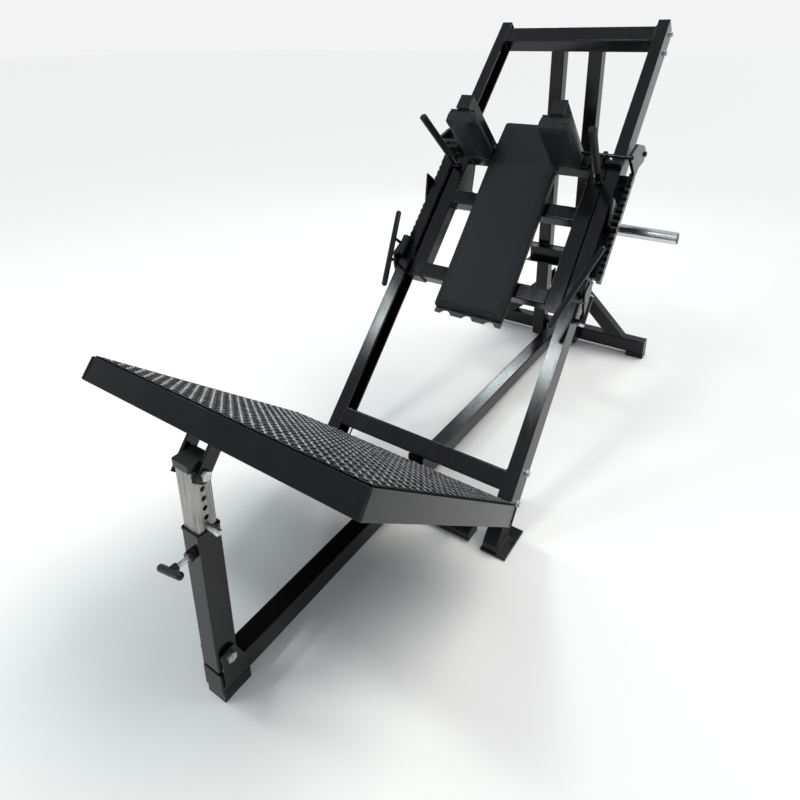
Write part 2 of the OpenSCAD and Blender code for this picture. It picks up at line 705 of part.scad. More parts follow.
lever(-1);  // lever_l
lever(1);  // lever_r
bumper(-1);  // bumper_l
bumper(1);  // bumper_r
plate_tray();
plate_tread();
plate_lugs();
post_tube();
post_bush();
clamp_screw();
clamp_grip();
inner_tube();
inner_plug();
pivot_bolt();
stop_pin();
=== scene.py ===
"""Looks of a plate-loaded hack squat machine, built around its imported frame."""

import json
import math

import bmesh
import bpy
from mathutils import Matrix, Vector


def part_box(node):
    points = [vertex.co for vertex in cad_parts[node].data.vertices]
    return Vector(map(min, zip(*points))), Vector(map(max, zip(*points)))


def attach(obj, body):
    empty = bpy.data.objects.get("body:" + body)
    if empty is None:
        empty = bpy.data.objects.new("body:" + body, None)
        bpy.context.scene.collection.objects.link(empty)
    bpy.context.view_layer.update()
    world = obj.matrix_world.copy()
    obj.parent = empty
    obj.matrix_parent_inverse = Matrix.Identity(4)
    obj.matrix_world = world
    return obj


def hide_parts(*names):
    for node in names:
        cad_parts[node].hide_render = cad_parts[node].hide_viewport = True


bl_info = {
    "name": "Hack Squat Machine",
    "version": (1, 0, 0),
    "blender": (4, 5, 0),
    "location": "View3D > Sidebar > Hack Squat",
    "description": "Pads, tread, welds, finishes and stage of a hack squat machine",
    "category": "Object",
}

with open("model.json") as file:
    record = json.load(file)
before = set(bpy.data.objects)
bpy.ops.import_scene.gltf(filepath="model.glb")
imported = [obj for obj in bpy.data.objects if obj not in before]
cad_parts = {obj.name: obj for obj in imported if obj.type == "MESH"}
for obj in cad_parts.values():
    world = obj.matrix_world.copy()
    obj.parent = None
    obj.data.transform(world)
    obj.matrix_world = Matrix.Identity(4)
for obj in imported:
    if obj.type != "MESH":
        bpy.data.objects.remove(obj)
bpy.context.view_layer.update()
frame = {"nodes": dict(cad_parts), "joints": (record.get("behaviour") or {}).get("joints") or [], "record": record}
JOINTS = {joint["name"]: joint for joint in frame["joints"]}
MM = 0.001
# how far the line where the rails meet the floor lies in front of the footplate's hinge
HINGE_BEHIND_RAIL_LINE = 22 * MM


def rail_matrix():
    """From (across, along the rail, in front of the rail) to the machine's frame."""
    along = Vector(JOINTS["sled_slide"]["axis"]).normalized()
    front = Vector((1, 0, 0)).cross(along)
    hinge = Vector(JOINTS["footplate_tilt"]["pos_m"])
    foot = Vector((0, hinge.y - HINGE_BEHIND_RAIL_LINE, 0))
    turn = Matrix((Vector((1, 0, 0)), along, front)).transposed()
    return Matrix.Translation(foot) @ turn.to_4x4()


def plate_matrix(tilt):
    """From the footplate's own frame, at its hinge, to the machine's frame."""
    hinge = Vector(JOINTS["footplate_tilt"]["pos_m"])
    return Matrix.Translation(hinge) @ Matrix.Rotation(-tilt, 4, "X")


RAIL = rail_matrix()
FLOOR = Matrix.Identity(4)
# the axes of a frame, and the two ends of a bar along one of them
ACROSS, ALONG, UP = range(3)
NEAR, FAR = range(2)


def local_box(node, matrix):
    """Lowest and highest corner of a CAD node in another frame."""
    back = matrix.inverted()
    points = [back @ v.co for v in frame["nodes"][node].data.vertices]
    low = Vector(min(p[i] for p in points) for i in range(3))
    high = Vector(max(p[i] for p in points) for i in range(3))
    return low, high


def add_piece(name, bm, material, body):
    """Makes an object of a bmesh, gives it its finish and lets it ride on a body."""
    mesh = bpy.data.meshes.new(name)
    bm.to_mesh(mesh)
    bm.free()
    for face in mesh.polygons:
        face.use_smooth = True
    piece = bpy.data.objects.new(name, mesh)
    bpy.context.scene.collection.objects.link(piece)
    piece.data.materials.append(material)
    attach(piece, body)
    return piece


def ball(around, rings):
    """A small unit ball, to be stretched and strewn."""
    bm = bmesh.new()
    bmesh.ops.create_uvsphere(bm, u_segments=around, v_segments=rings, radius=1.0)
    mesh = bpy.data.meshes.new("ball")
    bm.to_mesh(mesh)
    bm.free()
    return mesh


def strew(bm, shape, places):
    """Adds a copy of a small mesh at each place."""
    for place in places:
        copy = shape.copy()
        copy.transform(place)
        bm.from_mesh(copy)
        bpy.data.meshes.remove(copy)
    bpy.data.meshes.remove(shape)


# shader sockets and finishes


class Wire:
    """A shader socket. Arithmetic on it adds Math nodes to its finish."""

    def __init__(self, finish, socket):
        self.finish = finish
        self.socket = socket

    def math(self, operation, a, b):
        return self.finish.add("Math", {"operation": operation}, {0: a, 1: b})

    def __add__(self, other):
        return self.math("ADD", self, other)

    def __radd__(self, other):
        return self.math("ADD", other, self)

    def __sub__(self, other):
        return self.math("SUBTRACT", self, other)

    def __rsub__(self, other):
        return self.math("SUBTRACT", other, self)

    def __mul__(self, other):
        return self.math("MULTIPLY", self, other)

    def __rmul__(self, other):
        return self.math("MULTIPLY", other, self)

    def between(self, low, high):
        """0 below low, 1 above high, smooth in between."""
        settings = {"interpolation_type": "SMOOTHSTEP"}
        sockets = {"Value": self, "From Min": low, "From Max": high}
        return self.finish.add("MapRange", settings, sockets)


class Nodes:
    """A node tree whose nodes are added by one method."""

    def __init__(self, tree):
        self.tree = tree

    def put(self, node, sockets):
        """Sets or links a node's inputs, by name or by number."""
        for key, value in sockets.items():
            if isinstance(key, int):
                socket = node.inputs[key]
            else:
                socket = next(s for s in node.inputs if s.name == key and s.enabled)
            if isinstance(value, Wire):
                self.tree.links.new(value.socket, socket)
            else:
                socket.default_value = value

    def add(self, kind, settings=None, sockets=None, out=0):
        """Adds a node, sets it up, and returns one of its outputs."""
        node = self.tree.nodes.new("ShaderNode" + kind)
        for key, value in (settings or {}).items():
            setattr(node, key, value)
        self.put(node, sockets or {})
        if isinstance(out, int):
            socket = [s for s in node.outputs if s.enabled][out]
        else:
            socket = next(s for s in node.outputs if s.name == out and s.enabled)
        return Wire(self, socket)


class Finish(Nodes):
    """A material and the textures that finishes share."""

    def __init__(self, name):
        self.material = bpy.data.materials.new(name + "_finish")
        self.material.use_nodes = True
        super().__init__(self.material.node_tree)
        self.shader = self.tree.nodes["Principled BSDF"]

    def place(self, scale=(1, 1, 1)):
        """Object coordinates, drawn together along each axis by the scale."""
        spot = self.add("TexCoord", out="Object")
        return self.add("Mapping", None, {"Vector": spot, "Scale": scale})

    def noise(self, place, scale, detail, roughness=0.5):
        """Cloudy noise from 0 to 1."""
        sockets = {"Vector": place, "Scale": scale, "Detail": detail, "Roughness": roughness}
        return self.add("TexNoise", None, sockets, "Fac")

    def blend(self, factor, first, second):
        """A mix of two colours, or of a mix and a colour."""
        start = first if isinstance(first, Wire) else (*first, 1)
        sockets = {"Factor": factor, "A": start, "B": (*second, 1)}
        return self.add("Mix", {"data_type": "RGBA"}, sockets)

    def rounded(self, radius):
        """Normals as if the edges were rounded."""
        return self.add("Bevel", {"samples": 4}, {"Radius": radius})

    def edge_mask(self, rounded):
        """0 on flat faces, 1 on sharp edges."""
        return (1 - self.facing(rounded)).between(0.02, 0.20)

    def facing(self, way):
        """1 where the surface faces that way, 0 where it stands square to it."""
        normal = self.add("NewGeometry", out="Normal")
        settings = {"operation": "DOT_PRODUCT"}
        return self.add("VectorMath", settings, {0: normal, 1: way}, "Value")

    def bump(self, height, depth, strength, normal=None):
        """Bump of a real depth, over the given normals."""
        sockets = {"Height": height, "Distance": depth, "Strength": strength}
        if normal:
            sockets["Normal"] = normal
        return self.add("Bump", None, sockets)

    def shade(self, **sockets):
        """Sets the shader's inputs, named with _ for a space."""
        self.put(self.shader, {key.replace("_", " "): value for key, value in sockets.items()})
        return self.material


def coat_finish(look):
    """Gloss black powder coat with orange peel, handled patches, and sharp edges lightened, partly as rubbed paint
    and partly as a painted highlight.
    """
    f = Finish("coat")
    place = f.place()
    rounded = f.rounded(2.2 * MM)
    cloud = f.noise(place, 4.0, 4.0, 0.6)
    smear = f.noise(f.place((9, 2.5, 2.5)), 3.0, 5.0, 0.65).between(0.42, 0.72)
    speck = f.noise(place, 260.0, 1.0).between(0.68, 0.78)
    peel = f.noise(place, 240.0, 2.0)
    # lighter sharp edges: partly rubbed paint, partly a painted highlight along the edges
    rub_and_highlight = f.edge_mask(rounded) * f.noise(place, 45.0, 4.0, 0.7).between(0.35, 0.65)
    paint = f.blend(cloud.between(0.3, 0.7), look.coat_dark, look.coat_warm)
    return f.shade(
        Base_Color=f.blend(rub_and_highlight, paint, look.coat_edge_wear_and_highlight),
        Roughness=look.coat_roughness + 0.06 * cloud + 0.08 * smear + 0.12 * speck,
        Specular_IOR_Level=0.32,
        Normal=f.bump(peel, 0.3 * MM, 0.4, rounded),
    )


def tread_finish(look):
    """Painted tread plate between the lozenges, scuffed by shoes."""
    f = Finish("tread")
    place = f.place()
    cloud = f.noise(place, 5.0, 4.0, 0.6)
    scuff = f.noise(place, 120.0, 3.0, 0.6)
    return f.shade(
        Base_Color=f.blend(cloud.between(0.3, 0.7), look.coat_dark, look.coat_warm),
        Roughness=0.30 + 0.12 * cloud + 0.08 * scuff,
        Specular_IOR_Level=0.01,
        Normal=f.bump(scuff, 0.3 * MM, 0.4, f.rounded(0.8 * MM)),
    )


def crest_finish(look):
    """The raised lozenges: black flanks, with their upward-facing crests lightened to metal, partly as paint
    rubbed through and partly as a painted highlight.
    """
    f = Finish("tread_crest")
    place = f.place()
    wear = f.noise(place, 24.0, 4.0, 0.7)
    fine = f.noise(place, 420.0, 2.0)
    up = plate_matrix(bpy.context.scene.squat_tread.tilt).to_3x3() @ Vector((0, 0, 1))
    crest = f.facing(up).between(0.86, 0.97)
    # upward-facing crests made light uncoated metal: partly paint rubbed through, partly a painted highlight
    bare_and_highlight = crest * (0.65 * wear + 0.35 * fine).between(0.36, 0.60)
    return f.shade(
        Base_Color=f.blend(bare_and_highlight, look.coat_dark, look.crest_bare_and_highlight),
        Metallic=0.8 * bare_and_highlight,
        Roughness=0.22 + 0.12 * fine,
        Specular_IOR_Level=0.15,
        Normal=f.bump(fine, 0.2 * MM, 0.3),
    )


def vinyl_finish(look):
    """Dark slate upholstery vinyl with a pebbled grain."""
    f = Finish("vinyl")
    place = f.place()
    settings = {"feature": "DISTANCE_TO_EDGE"}
    cell = f.add("TexVoronoi", settings, {"Vector": place, "Scale": 620.0, "Randomness": 1.0})
    grain = cell.between(0.0, 0.35)
    wrinkle = f.noise(place, 90.0, 5.0, 0.6)
    cloud = f.noise(place, 3.2, 4.0, 0.55)
    tone = (0.75 * cloud + 0.25 * wrinkle).between(0.32, 0.68)
    return f.shade(
        Base_Color=f.blend(tone, look.vinyl_dark, look.vinyl_light),
        Roughness=0.50 - 0.12 * grain + 0.10 * cloud,
        Specular_IOR_Level=0.25,
        Normal=f.bump(0.7 * grain + 0.3 * wrinkle, 0.4 * MM, 0.55),
    )


def thread_finish(look):
    """Twisted sewing thread."""
    f = Finish("thread")
    twist = f.noise(f.place(), 900.0, 1.0)
    return f.shade(
        Base_Color=f.blend(twist, look.vinyl_dark, look.vinyl_light),
        Roughness=0.55 + 0.2 * twist,
        Normal=f.bump(twist, 0.2 * MM, 0.5),
    )


def rubber_finish(look):
    """Black rubber, a little dusty and slightly pitted."""
    f = Finish("rubber")
    place = f.place()
    dust = f.noise(place, 30.0, 5.0, 0.65)
    pit = f.noise(place, 700.0, 2.0)
    return f.shade(
        Base_Color=f.blend(dust.between(0.35, 0.75), look.rubber, look.rubber_dusty),
        Roughness=0.40 + 0.22 * dust,
        Specular_IOR_Level=0.3,
        Normal=f.bump(pit, 0.3 * MM, 0.5, f.rounded(1.5 * MM)),
    )


def plastic_finish(look):
    """Black moulded plastic with a fine spark texture."""
    f = Finish("plastic")
    place = f.place()
    spark = f.noise(place, 900.0, 2.0)
    cloud = f.noise(place, 12.0, 3.0)
    return f.shade(
        Base_Color=f.blend(cloud.between(0.3, 0.7), look.rubber, look.coat_warm),
        Roughness=0.24 + 0.12 * cloud + 0.10 * spark,
        Specular_IOR_Level=0.35,
        Normal=f.bump(spark, 0.2 * MM, 0.5, f.rounded(1.5 * MM)),
    )


def zinc_finish(look):
    """Bright zinc plate on bolts and axles, with dull patches."""
    f = Finish("zinc")
    place = f.place()
    patch = f.noise(place, 60.0, 4.0, 0.6)
    fine = f.noise(place, 500.0, 2.0)
    tone = (0.7 * patch + 0.3 * fine).between(0.35, 0.65)
    return f.shade(
        Base_Color=f.blend(tone, look.zinc_dull, look.zinc_bright),
        Metallic=1.0,
        Roughness=0.20 + 0.16 * patch + 0.08 * fine,
        Normal=f.bump(fine, 0.1 * MM, 0.3, f.rounded(0.9 * MM)),
    )


def raw_tube_finish(look):
    """Bare drawn steel tube: streaks along it, dull smears and darker edges."""
    f = Finish("raw_tube")
    place = f.place()
    rounded = f.rounded(2 * MM)
    streak = f.noise(f.place((150, 150, 4)), 1.0, 4.0, 0.65)
    smear = f.noise(f.place((30, 30, 9)), 1.0, 4.0, 0.6)
    tone = (0.55 * streak + 0.45 * smear).between(0.30, 0.66)
    metal = f.blend(tone, look.tube_dull, look.tube_bright)
    grime = f.edge_mask(rounded) * f.noise(place, 22.0, 4.0, 0.7).between(0.40, 0.70)
    return f.shade(
        Base_Color=f.blend(grime, metal, look.coat_warm),
        Metallic=1.0 - 0.8 * grime,
        Roughness=0.32 + 0.16 * smear + 0.12 * streak,
        Normal=f.bump(streak, 0.2 * MM, 0.35, rounded),
    )


def chrome_finish(look):
    """Polished chrome with faint plate marks round the bar."""
    f = Finish("chrome")
    ring = f.noise(f.place((220, 4, 4)), 1.0, 3.0, 0.6)
    haze = f.noise(f.place(), 26.0, 4.0, 0.6)
    return f.shade(
        Base_Color=f.blend(ring.between(0.3, 0.7), look.chrome_grey, look.chrome_white),
        Metallic=1.0,
        Roughness=0.10 + 0.10 * haze + 0.08 * ring,
        Normal=f.bump(ring, 0.12 * MM, 0.3),
    )


FINISHES = {
    "coat": coat_finish,
    "tread": tread_finish,
    "tread_crest": crest_finish,
    "vinyl": vinyl_finish,
    "thread": thread_finish,
    "rubber": rubber_finish,
    "plastic": plastic_finish,
    "zinc": zinc_finish,
    "raw_tube": raw_tube_finish,
    "chrome": chrome_finish,
}
# nodes whose finish isn't that of their material slot
OWN_FINISH = {"inner_tube": "raw_tube", "stop_pin": "zinc"}


def finish(context, name):
    """The material of that name, made once."""
    return bpy.data.materials.get(name + "_finish") or FINISHES[name](context.scene.squat_look)


# settings


def colour_setting(name, description, default):
    """A linear colour."""
    return bpy.props.FloatVectorProperty(
        name=name, description=description, default=default, subtype="COLOR", size=3, min=0, max=1
    )


def length_setting(name, description, default):
    """A length in m."""
    return bpy.props.FloatProperty(
        name=name, description=description, default=default,
        subtype="DISTANCE", unit="LENGTH", precision=4
    )


def angle_setting(name, description, degrees):
    """An angle, given in degrees."""
    return bpy.props.FloatProperty(
        name=name, description=description, default=math.radians(degrees), subtype="ANGLE"
    )


def number_setting(name, description, default, highest, subtype="NONE"):
    """A number from 0 to its highest value."""
    return bpy.props.FloatProperty(
        name=name, description=description, default=default, min=0, max=highest, subtype=subtype
    )


class SquatLook(bpy.types.PropertyGroup):
    """Colours of the finishes."""

    coat_dark: colour_setting("Coat dark", "Powder coat, darker patches", (0.0016, 0.0016, 0.0018))
    coat_warm: colour_setting("Coat warm", "Powder coat, warmer patches", (0.0052, 0.0040, 0.0036))
    coat_roughness: number_setting(
        "Coat roughness", "Lowest roughness of the powder coat", 0.12, 1, "FACTOR"
    )
    # edge colour: partly rubbed paint, partly a painted highlight on sharp edges
    coat_edge_wear_and_highlight: colour_setting("Coat edge", "Powder coat rubbed on sharp edges", (0.040, 0.039, 0.038))
    # crest colour: partly uncoated metal, partly a painted highlight on the lozenges' tops
    crest_bare_and_highlight: colour_setting("Tread crest", "Bare metal on the tread's crests", (0.78, 0.78, 0.78))
    vinyl_dark: colour_setting("Vinyl dark", "Pad vinyl, darker tone", (0.0046, 0.0058, 0.0068))
    vinyl_light: colour_setting("Vinyl light", "Pad vinyl, lighter tone", (0.0092, 0.0113, 0.0128))
    rubber: colour_setting("Rubber", "Clean rubber and plastic", (0.0032, 0.0032, 0.0036))
    rubber_dusty: colour_setting("Rubber dust", "Dusty rubber", (0.0085, 0.0085, 0.0090))
    zinc_dull: colour_setting("Zinc dull", "Zinc plate, duller patches", (0.40, 0.41, 0.42))
    zinc_bright: colour_setting("Zinc bright", "Zinc plate, brighter patches", (0.72, 0.73, 0.74))
    tube_dull: colour_setting("Raw tube dull", "Bare tube, duller streaks", (0.20, 0.195, 0.18))
    tube_bright: colour_setting("Raw tube bright", "Bare tube, brighter streaks", (0.48, 0.47, 0.44))
    chrome_grey: colour_setting("Chrome grey", "Chrome, greyer rings", (0.55, 0.56, 0.57))
    chrome_white: colour_setting("Chrome white", "Chrome, brighter rings", (0.86, 0.87, 0.88))


class SquatPads(bpy.types.PropertyGroup):
    """How the pads are stuffed and sewn."""

    voxel: length_setting("Cloth grid", "Size of the cloth's mesh", 5 * MM)
    shrink: length_setting("Slack", "How much smaller the cover is before it is stuffed", 1.0 * MM)
    cap: length_setting("Swell", "Most that a point of the cover moves out", 2.5 * MM)
    pressure: number_setting("Pressure", "Pressure of the stuffing in the cover", 4.0, 20)
    held: length_setting("Held back", "Depth of the cover's back that is tacked down", 6 * MM)
    front: length_setting("Front", "Depth of the cover's front that a sewn line crosses", 12 * MM)
    hem: length_setting("Hem", "Plain strip at both ends of a sewn line", 7 * MM)
    seam_depth: length_setting("Seam depth", "How far a sewn line draws the cover in", 1.8 * MM)
    seam_width: length_setting("Seam width", "Half width of a sewn line's hollow", 5 * MM)
    fold: length_setting("Fold", "Where the back pad's cover folds, along the rails", 1365 * MM)
    stitch: length_setting("Stitch length", "Length of a stitch with its gap", 9 * MM)
    thread: length_setting("Thread", "Thickness of the thread", 1.1 * MM)


class SquatWelds(bpy.types.PropertyGroup):
    """The beads of the welds."""

    radius: length_setting("Bead", "Radius of a weld bead", 3.4 * MM)
    pitch: length_setting("Ripple", "Distance between a bead's ripples", 2.8 * MM)
    inset: length_setting("Inset", "Plain ends of a tray corner's bead", 4 * MM)


class SquatTread(bpy.types.PropertyGroup):
    """The lozenges of the tread plate."""

    tilt: angle_setting("Plate tilt", "Tilt of the footplate at rest", 39)
    pitch: length_setting("Pitch", "Distance between lozenges that lie the same way", 33 * MM)
    length: length_setting("Length", "Length of a lozenge", 28 * MM)
    width: length_setting("Width", "Width of a lozenge", 9.5 * MM)
    height: length_setting("Height", "Height of a lozenge", 2.6 * MM)
    margin: length_setting("Margin", "Plain strip along the plate's edges", 9 * MM)


class SquatStage(bpy.types.PropertyGroup):
    """Camera and light."""

    focal: number_setting("Lens", "Focal length in mm", 27.57, 200, "DISTANCE_CAMERA")
    shift: bpy.props.FloatVectorProperty(
        name="Lens shift", description="Shift of the view", default=(-0.0132, -0.180), size=2
    )
    camera: bpy.props.FloatVectorProperty(
        name="Camera", description="Place of the camera", default=(0.9636, -1.7154, 1.4911), size=3,
        subtype="TRANSLATION", unit="LENGTH"
    )
    yaw: angle_setting("Yaw", "Turn of the camera to its left", 33.60)
    pitch: angle_setting("Pitch", "Downward tilt of the camera", 19.63)
    roll: angle_setting("Roll", "Roll of the camera", -0.28)
    floor: colour_setting("Floor", "Colour of the floor", (0.89, 0.845, 0.80))
    horizon: number_setting("Horizon", "Light from the horizon", 0.9, 10)
    sky: colour_setting("Sky", "Light from above, as a share of the horizon's", (0.52, 0.60, 0.66))
    ceiling: number_setting("Ceiling", "Strength of the soft ceiling light", 2.0, 10)
    ceiling_spread: angle_setting("Ceiling spread", "How wide the ceiling light is", 50)
    lamp: colour_setting("Lamps", "Colour of the softboxes", (0.88, 0.98, 1.0))
    left: number_setting("Left lamp", "Softbox over the left rail, in W", 17, 200, "POWER")
    right: number_setting("Right lamp", "Softbox over the right rail, in W", 27, 200, "POWER")
    rear: number_setting("Rear lamp", "Softbox behind the spine, in W", 12, 200, "POWER")


# pieces


class SQUAT_OT_finish_frame(bpy.types.Operator):
    """Gives every solid of the frame the finish of its material slot"""

    bl_idname = "squat.finish_frame"
    bl_label = "Finish Frame"

    def execute(self, context):
        for row in frame["record"]["subparts"]:
            name = OWN_FINISH.get(row["node"], row["material_slot"])
            mesh = frame["nodes"][row["node"]].data
            mesh.materials.clear()
            mesh.materials.append(finish(context, name))
        return {"FINISHED"}


# merge distance for the corners of a solid's loose triangles, in m
SAME_POINT = 1e-5
# frames and quality of the stuffing's cloth run
STUFFING_FRAMES = 20
STUFFING_QUALITY = 5
# sewn lines of a shoulder pad, as shares of its length along the rails
SHOULDER_SEAMS = (0.36, 0.72)
# half length of a thread loop as a share of a stitch, and its slant to the line
LOOP_SHARE = 0.36
LOOP_SLANT = math.radians(7)


def stuffed(name, node, pads, axis, level):
    """A pad's cover: the CAD cushion's shape, a little slack, blown up against its held back."""
    bm = bmesh.new()
    bm.from_mesh(frame["nodes"][node].data)
    bmesh.ops.remove_doubles(bm, verts=bm.verts, dist=SAME_POINT)
    bmesh.ops.recalc_face_normals(bm, faces=bm.faces)
    mesh = bpy.data.meshes.new(name)
    bm.to_mesh(mesh)
    bm.free()
    pad = bpy.data.objects.new(name, mesh)
    bpy.context.scene.collection.objects.link(pad)
    remesh = pad.modifiers.new("Grid", "REMESH")
    remesh.mode = "VOXEL"
    remesh.voxel_size = pads.voxel
    bake(pad)
    rest = [v.co.copy() for v in pad.data.vertices]
    normals = [v.normal.copy() for v in pad.data.vertices]
    for vertex, normal in zip(pad.data.vertices, normals):
        vertex.co -= normal * pads.shrink
    to_rail = RAIL.inverted()
    places = [(to_rail @ p)[axis] for p in rest]
    held = pad.vertex_groups.new(name="held")
    held.add([i for i, place in enumerate(places) if level[0] < place < level[1]], 1.0, "REPLACE")
    blow_up(pad, pads, rest)
    return pad


def bake(piece):
    """Applies a piece's modifiers to its mesh."""
    graph = bpy.context.evaluated_depsgraph_get()
    graph.update()
    old = piece.data
    piece.data = bpy.data.meshes.new_from_object(piece.evaluated_get(graph))
    piece.modifiers.clear()
    bpy.data.meshes.remove(old)


def blow_up(pad, pads, rest):
    """Runs the cloth from frame 1 to the last, keeps its shape, and caps each point's way."""
    cloth = pad.modifiers.new("Cloth", "CLOTH")
    cloth.settings.use_pressure = True
    cloth.settings.uniform_pressure_force = pads.pressure
    cloth.settings.effector_weights.gravity = 0
    cloth.settings.vertex_group_mass = "held"
    cloth.settings.quality = STUFFING_QUALITY
    scene = bpy.context.scene
    for step in range(1, STUFFING_FRAMES + 1):
        scene.frame_set(step)
    graph = bpy.context.evaluated_depsgraph_get()
    shape = pad.evaluated_get(graph).data
    moved = [v.co.copy() for v in shape.vertices]
    pad.modifiers.clear()
    scene.frame_set(1)
    for vertex, start, end in zip(pad.data.vertices, rest, moved):
        way = end - start
        vertex.co = start + way * min(1.0, pads.cap / max(way.length, 1e-9))


def sew(pad, lines, front, pads):
    """Draws the cover in along lines across its front."""
    inward = RAIL.to_3x3() @ Vector((0, 0, -1))
    to_rail = RAIL.inverted()
    for vertex in pad.data.vertices:
        spot = to_rail @ vertex.co
        if spot.z < front:
            continue
        for line in lines:
            gap = abs(spot.y - line) / pads.seam_width
            if gap < 1:
                vertex.co += inward * pads.seam_depth * (1 - gap * gap) ** 2


def stitches(pad, line, reach, pads):
    """The places of the thread loops that lie in a sewn line."""
    inward = RAIL.to_3x3() @ Vector((0, 0, -1))
    size = Matrix.Diagonal((LOOP_SHARE * pads.stitch, pads.thread / 2, pads.thread / 2, 1))
    turn = RAIL.to_3x3().to_4x4() @ Matrix.Rotation(LOOP_SLANT, 4, "Z")
    count = int(2 * reach[1] / pads.stitch)
    places = []
    for i in range(count + 1):
        across = reach[0] + (i - count / 2) * pads.stitch
        hit, spot, _, _ = pad.ray_cast(RAIL @ Vector((across, line, 1.0)), inward)
        if hit:
            places.append(Matrix.Translation(spot) @ turn @ size)
    return places


class SQUAT_OT_pads(bpy.types.Operator):
    """Stuffs the back pad and the two shoulder pads"""

    bl_idname = "squat.pads"
    bl_label = "Stuff Pads"

    def execute(self, context):
        pads = context.scene.squat_pads
        loops = []
        for node in ("back_pad", "shoulder_pad_l", "shoulder_pad_r"):
            low, high = local_box(node, RAIL)
            if node == "back_pad":
                axis = UP
                level = (-math.inf, low.z + pads.held)
                lines = [pads.fold]
            else:
                axis = ALONG
                level = (high.y - pads.held, math.inf)
                lines = [low.y + share * (high.y - low.y) for share in SHOULDER_SEAMS]
            pad = stuffed(node + "_cover", node, pads, axis, level)
            sew(pad, lines, high.z - pads.front, pads)
            reach = ((low.x + high.x) / 2, (high.x - low.x) / 2 - pads.hem)
            for line in lines:
                loops += stitches(pad, line, reach, pads)
            for face in pad.data.polygons:
                face.use_smooth = True
            pad.data.materials.clear()
            pad.data.materials.append(finish(context, "vinyl"))
            smooth = pad.modifiers.new("Smooth", "SUBSURF")
            smooth.levels = 1
            smooth.render_levels = 1
            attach(pad, "sled")
            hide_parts(node)
        thread = bmesh.new()
        strew(thread, ball(around=8, rings=6), loops)
        add_piece("pad_stitches", thread, finish(context, "thread"), "sled")
        return {"FINISHED"}


# slant of a lozenge to the plate's edges, how far its root goes into the sheet as a share
# of its height, and how much narrower its ends are
LOZENGE_SLANT = math.radians(45)
LOZENGE_ROOT = 0.1
LOZENGE_TAPER = 0.35


class SQUAT_OT_tread(bpy.types.Operator):
    """Covers the footplate with crossed lozenges"""

    bl_idname = "squat.tread"
    bl_label = "Tread Lozenges"

    def execute(self, context):
        tread = context.scene.squat_tread
        plate = plate_matrix(tread.tilt)
        low, high = local_box("plate_tread", plate)
        half = tread.pitch / 2
        columns = int((high.x - low.x - 2 * tread.margin) / half)
        rows = int((high.y - low.y - 2 * tread.margin) / half)
        corner = Vector((-columns * half / 2, (low.y + high.y - rows * half) / 2, high.z))
        places = []
        for i in range(columns + 1):
            for j in range(rows + 1):
                if (i + j) % 2:
                    continue
                turn = Matrix.Rotation(LOZENGE_SLANT if i % 2 else -LOZENGE_SLANT, 4, "Z")
                spot = Matrix.Translation(corner + Vector((i * half, j * half, 0)))
                places.append(plate @ spot @ turn)
        bm = bmesh.new()
        strew(bm, self.lozenge(tread), places)
        add_piece("tread_lozenges", bm, finish(context, "tread_crest"), "footplate")
        return {"FINISHED"}

    def lozenge(self, tread):
        """One lozenge: the upper part of a long dome, drawn to a point at both ends."""
        bm = bmesh.new()
        bmesh.ops.create_uvsphere(bm, u_segments=10, v_segments=6, radius=1.0)
        whole = bm.verts[:] + bm.edges[:] + bm.faces[:]
        bmesh.ops.bisect_plane(
            bm, geom=whole, plane_co=(0, 0, -LOZENGE_ROOT), plane_no=(0, 0, -1), clear_outer=True
        )
        bmesh.ops.scale(bm, vec=(tread.length / 2, tread.width / 2, tread.height), verts=bm.verts)
        for vertex in bm.verts:
            vertex.co.y *= 1.0 - LOZENGE_TAPER * abs(vertex.co.x) / (tread.length / 2)
        mesh = bpy.data.meshes.new("lozenge")
        bm.to_mesh(mesh)
        bm.free()
        return mesh


def end_edges(node, matrix, axis, ends):
    """The edges of a bar's ends, as pairs of points."""
    low, high = local_box(node, matrix)
    first, second = [i for i in range(3) if i != axis]
    edges = []
    for end in ends:
        ring = []
        for a, b in ((low, low), (high, low), (high, high), (low, high)):
            corner = Vector((0, 0, 0))
            corner[axis] = (low, high)[end][axis]
            corner[first] = a[first]
            corner[second] = b[second]
            ring.append(matrix @ corner)
        edges += zip(ring, ring[1:] + ring[:1])
    return edges


# swing of a bead's width, as (share of its radius, radians per ripple), and half the length
# of a ripple as a share of that radius
RIPPLE_WAVES = ((0.12, 2.4), (0.06, 5.1))
RIPPLE_LENGTH = 0.85


